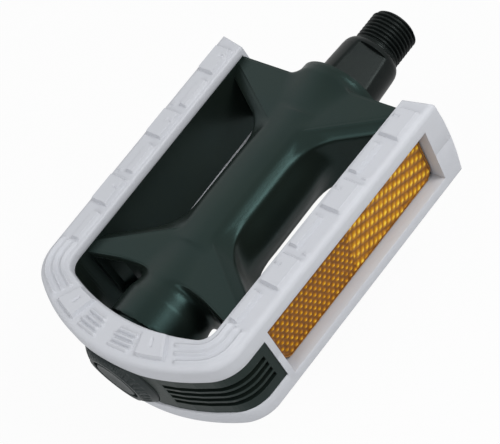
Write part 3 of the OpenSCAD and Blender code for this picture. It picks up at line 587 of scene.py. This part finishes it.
def finish(name, tone, second, rough, spread=0.1, cloud=60.0, grain=2600.0, bump=0.05,
           metallic=0.0, coat=0.0, coat_rough=0.1, specular=0.5, sheen=(1.0, 1.0, 1.0)):
    """A Principled finish whose colour, roughness and relief come from the shared grain. The
    relief is 0.2 mm deep at a bump of 1, and sheen is the tint of its gloss."""
    mat = bpy.data.materials.new(name)
    mat.use_nodes = True
    tree = mat.node_tree
    shader = tree.nodes["Principled BSDF"]
    g = tree.nodes.new("ShaderNodeGroup")
    g.node_tree = GRAIN
    g.inputs["Tone"].default_value = (*tone, 1)
    g.inputs["Second Tone"].default_value = (*second, 1)
    g.inputs["Cloud Scale"].default_value = cloud
    g.inputs["Grain Scale"].default_value = grain
    g.inputs["Roughness"].default_value = rough
    g.inputs["Spread"].default_value = spread
    tree.links.new(g.outputs["Colour"], shader.inputs["Base Color"])
    tree.links.new(g.outputs["Roughness"], shader.inputs["Roughness"])
    relief = node(tree, "ShaderNodeBump", {"Strength": bump, "Distance": 0.0002,
                                           "Height": g.outputs["Height"]})
    tree.links.new(relief.outputs["Normal"], shader.inputs["Normal"])
    shader.inputs["Metallic"].default_value = metallic
    shader.inputs["Coat Weight"].default_value = coat
    shader.inputs["Coat Roughness"].default_value = coat_rough
    shader.inputs["Specular IOR Level"].default_value = specular
    shader.inputs["Specular Tint"].default_value = (*sheen, 1)
    return mat


def amber_finish():
    """Amber lens: deep orange between the prisms and painted yellow glints on their tips, under an
    amber gloss.
    """
    mat = bpy.data.materials.new("amber_lens")
    mat.use_nodes = True
    tree = mat.node_tree
    shader = tree.nodes["Principled BSDF"]
    prism = node(tree, "ShaderNodeAttribute", attribute_name="prism")
    coords = node(tree, "ShaderNodeTexCoord").outputs["Object"]
    # Painted glints of uneven brightness on the prisms, a little under their own on the whole
    glint_noise = node(tree, "ShaderNodeTexNoise", {"Vector": coords, "Scale": 700.0, "Detail": 2.0})
    mixed = node(tree, "ShaderNodeMath", {0: glint_noise.outputs["Fac"], 1: 0.55},
                 operation="SUBTRACT")
    glint_level = node(tree, "ShaderNodeMath", {0: mixed.outputs[0], 1: 0.5, 2: prism.outputs["Fac"]},
                  operation="MULTIPLY_ADD")
    # The ramp paints the glints: deep orange where the prisms are dim, yellow where they catch the
    # light
    ramp = node(tree, "ShaderNodeValToRGB", {"Fac": glint_level.outputs[0]})
    ends = ramp.color_ramp.elements
    ends[0].position, ends[0].color = 0.0, (0.13, 0.040, 0.006, 1)
    ends[1].position, ends[1].color = 1.0, (0.98, 0.68, 0.05, 1)
    for place, colour in ((0.3, (0.28, 0.105, 0.010, 1)), (0.6, (0.56, 0.235, 0.006, 1))):
        ends.new(place).color = colour
    tree.links.new(ramp.outputs["Color"], shader.inputs["Base Color"])
    shader.inputs["Roughness"].default_value = 0.22
    shader.inputs["Specular IOR Level"].default_value = 0.45
    shader.inputs["Specular Tint"].default_value = (1.0, 0.62, 0.12, 1)
    return mat


FINISHES = {
    "tread_grey": finish("tread_grey", (0.510, 0.525, 0.565), (0.540, 0.555, 0.590), 0.55, 0.08,
                         45.0, 3200.0, 0.10),
    "core_resin": finish("core_resin", (0.006, 0.010, 0.010), (0.011, 0.015, 0.011), 0.30, 0.12,
                         55.0, 2400.0, 0.14, specular=0.22, sheen=(0.55, 1.0, 0.97)),
    "reflector_base": finish("reflector_base", (0.30, 0.045, 0.010), (0.24, 0.03, 0.008), 0.3),
    "black_steel": finish("black_steel", (0.006, 0.009, 0.009), (0.012, 0.015, 0.014), 0.34, 0.16,
                          90.0, 1800.0, 0.08, metallic=0.55, specular=0.15),
    "bearing_steel": finish("bearing_steel", (0.45, 0.45, 0.46), (0.38, 0.38, 0.40), 0.28, 0.12,
                            120.0, 3000.0, 0.05, metallic=1.0),
    "zinc_steel": finish("zinc_steel", (0.52, 0.53, 0.55), (0.44, 0.45, 0.48), 0.34, 0.14,
                         150.0, 2600.0, 0.06, metallic=1.0),
    "cap_plastic": finish("cap_plastic", (0.016, 0.023, 0.024), (0.024, 0.031, 0.031), 0.36, 0.10,
                          80.0, 2400.0, 0.10, specular=0.22),
    "seal_rubber": finish("seal_rubber", (0.015, 0.015, 0.015), (0.022, 0.022, 0.022), 0.7),
    "ball_steel": finish("ball_steel", (0.70, 0.70, 0.72), (0.64, 0.64, 0.66), 0.10, 0.05,
                         200.0, 3000.0, 0.01, metallic=1.0),
    "amber_lens": amber_finish(),
}


def wear(piece, slot):
    """Gives a piece its finish and names the record's slot that it stands for."""
    piece.data.materials.clear()
    piece.data.materials.append(FINISHES[slot])
    return piece


# ---------------------------------------------------------------- assembly

SLOTS = {s["node"]: s["material_slot"] for s in frame["record"]["subparts"]}
for name, cad in NODES.items():
    wear(cad, SLOTS[name])


def stand_in(piece, slot, body, *nodes):
    """Puts a finished piece in the place of its CAD nodes, on the body that they ride on."""
    wear(piece, slot)
    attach(piece, body)
    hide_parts(*nodes)


stand_in(tread_cover(), "tread_grey", "pedal_body", "tread_cover")
stand_in(spindle_skin(), "black_steel", "spindle_body", "spindle")
stand_in(dust_cap_skin(), "cap_plastic", "pedal_body", "dust_cap")
stand_in(lens_skin("lens_front_skin", 1), "amber_lens", "pedal_body", "reflector_lens_front")
stand_in(lens_skin("lens_rear_skin", -1), "amber_lens", "pedal_body", "reflector_lens_rear")

# The core keeps its CAD solid, with its moulded edges eased, under a skin with soft fillets.
# The weld joins its loose triangles, which the bevel needs.
skin = wear(core_skin(), "core_resin")
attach(skin, "pedal_body")
core = NODES["body_core"]
weld = core.modifiers.new("weld", "WELD")
weld.merge_threshold = 0.00001
ease = core.modifiers.new("ease", "BEVEL")
ease.width = 0.00045
ease.segments = 2
ease.limit_method = "ANGLE"
ease.angle_limit = np.radians(40)
ease.harden_normals = True


# ---------------------------------------------------------------- stage, light and camera

def plane(name, corners):
    """One flat face through four corners."""
    mesh = bpy.data.meshes.new(name)
    mesh.from_pydata(corners, [], [(0, 1, 2, 3)])
    piece = bpy.data.objects.new(name, mesh)
    bpy.context.scene.collection.objects.link(piece)
    return piece


def seen_mask(tree, direct, mirrored):
    """One level for rays from the camera, another for those from gloss or a clear piece, and 0
    for the rays that light the object."""
    rays = tree.nodes.new("ShaderNodeLightPath").outputs
    both = node(tree, "ShaderNodeMath", {0: rays["Is Glossy Ray"], 1: rays["Is Transmission Ray"]},
                operation="MAXIMUM")
    share = node(tree, "ShaderNodeMath", {0: both.outputs[0], 1: mirrored}, operation="MULTIPLY")
    return node(tree, "ShaderNodeMath", {0: rays["Is Camera Ray"], 1: direct, 2: share.outputs[0]},
                operation="MULTIPLY_ADD").outputs[0]


def stage_finish():
    """Pale floor that glows where it is seen, so that it is white with a light shadow."""
    mat = bpy.data.materials.new("pale_floor")
    mat.use_nodes = True
    tree = mat.node_tree
    shader = tree.nodes["Principled BSDF"]
    shader.inputs["Base Color"].default_value = (0.65, 0.65, 0.65, 1)
    shader.inputs["Roughness"].default_value = 0.9
    shader.inputs["Specular IOR Level"].default_value = 0.1
    glow = node(tree, "ShaderNodeEmission", {"Color": (1, 1, 1, 1), "Strength": 1.0})
    # Gloss sees less of the glow, because the floor that it faces is in the pedal's shadow
    both = node(tree, "ShaderNodeMixShader", {0: seen_mask(tree, 0.95, 0.1),
                                              1: shader.outputs["BSDF"],
                                              2: glow.outputs["Emission"]})
    tree.links.new(both.outputs["Shader"], tree.nodes["Material Output"].inputs["Surface"])
    return mat


# The floor lies below the sweep of the arms, so that the pedal turns clear of it
floor_z, reach = -0.0415, 3
floor = plane("floor", [(x, y, floor_z) for x, y in ((-reach, -reach), (reach, -reach),
                                                     (reach, reach), (-reach, reach))])
floor.data.materials.append(stage_finish())

world = bpy.data.worlds.new("studio")
bpy.context.scene.world = world
world.use_nodes = True
sky = world.node_tree.nodes["Background"]
sky.inputs["Color"].default_value = (1, 1, 1, 1)
# White where it is seen and dimmer where it lights the object
lit = 0.45
seen = seen_mask(world.node_tree, 1 - lit, 1 - lit)
level = node(world.node_tree, "ShaderNodeMath", {0: seen, 1: lit}, operation="ADD")
world.node_tree.links.new(level.outputs[0], sky.inputs["Strength"])


def softbox(name, place, aim, size, power):
    """A square lamp at a place, turned towards what it lights; size in metres, power in watts."""
    light = bpy.data.lights.new(name, "AREA")
    light.shape = "SQUARE"
    light.size = size
    light.energy = power
    lamp = bpy.data.objects.new(name, light)
    bpy.context.scene.collection.objects.link(lamp)
    lamp.location = place
    lamp.rotation_euler = (Vector(aim) - Vector(place)).to_track_quat("-Z", "Y").to_euler()
    return lamp


middle = (0, -0.06, 0)
softbox("key", (0.42, 0.20, 0.48), middle, 0.30, 2.7)
softbox("fill", (0.10, -0.65, 0.45), middle, 0.5, 1.9)
softbox("back", (-0.50, 0.10, 0.60), middle, 0.5, 0.3)


def photo_camera():
    """Camera at the photograph's place: azimuth, elevation and roll about its own axis."""
    focal_px, width_px, sensor_mm, distance = 1280.6, 500, 36, 0.33765
    az, el, roll = np.radians([65.25, 46.27, -33.24])
    back = np.array([np.sin(az) * np.cos(el), -np.cos(az) * np.cos(el), np.sin(el)])
    right = np.cross(-back, [0, 0, 1])
    right /= np.linalg.norm(right)
    up = np.cross(right, -back)
    x = right * np.cos(roll) + up * np.sin(roll)
    y = -right * np.sin(roll) + up * np.cos(roll)
    place = np.array([2.46, -60.49, 0.0]) * 0.001 + back * distance
    data = bpy.data.cameras.new("photo")
    data.sensor_width = sensor_mm
    data.lens = focal_px / width_px * sensor_mm
    data.clip_start = 0.01
    cam = bpy.data.objects.new("photo", data)
    bpy.context.scene.collection.objects.link(cam)
    cam.matrix_world = Matrix([[*row, p] for row, p in zip(np.stack([x, y, back], 1), place)]
                              + [[0, 0, 0, 1]])
    bpy.context.scene.camera = cam


photo_camera()
bpy.context.scene.view_settings.view_transform = "Standard"
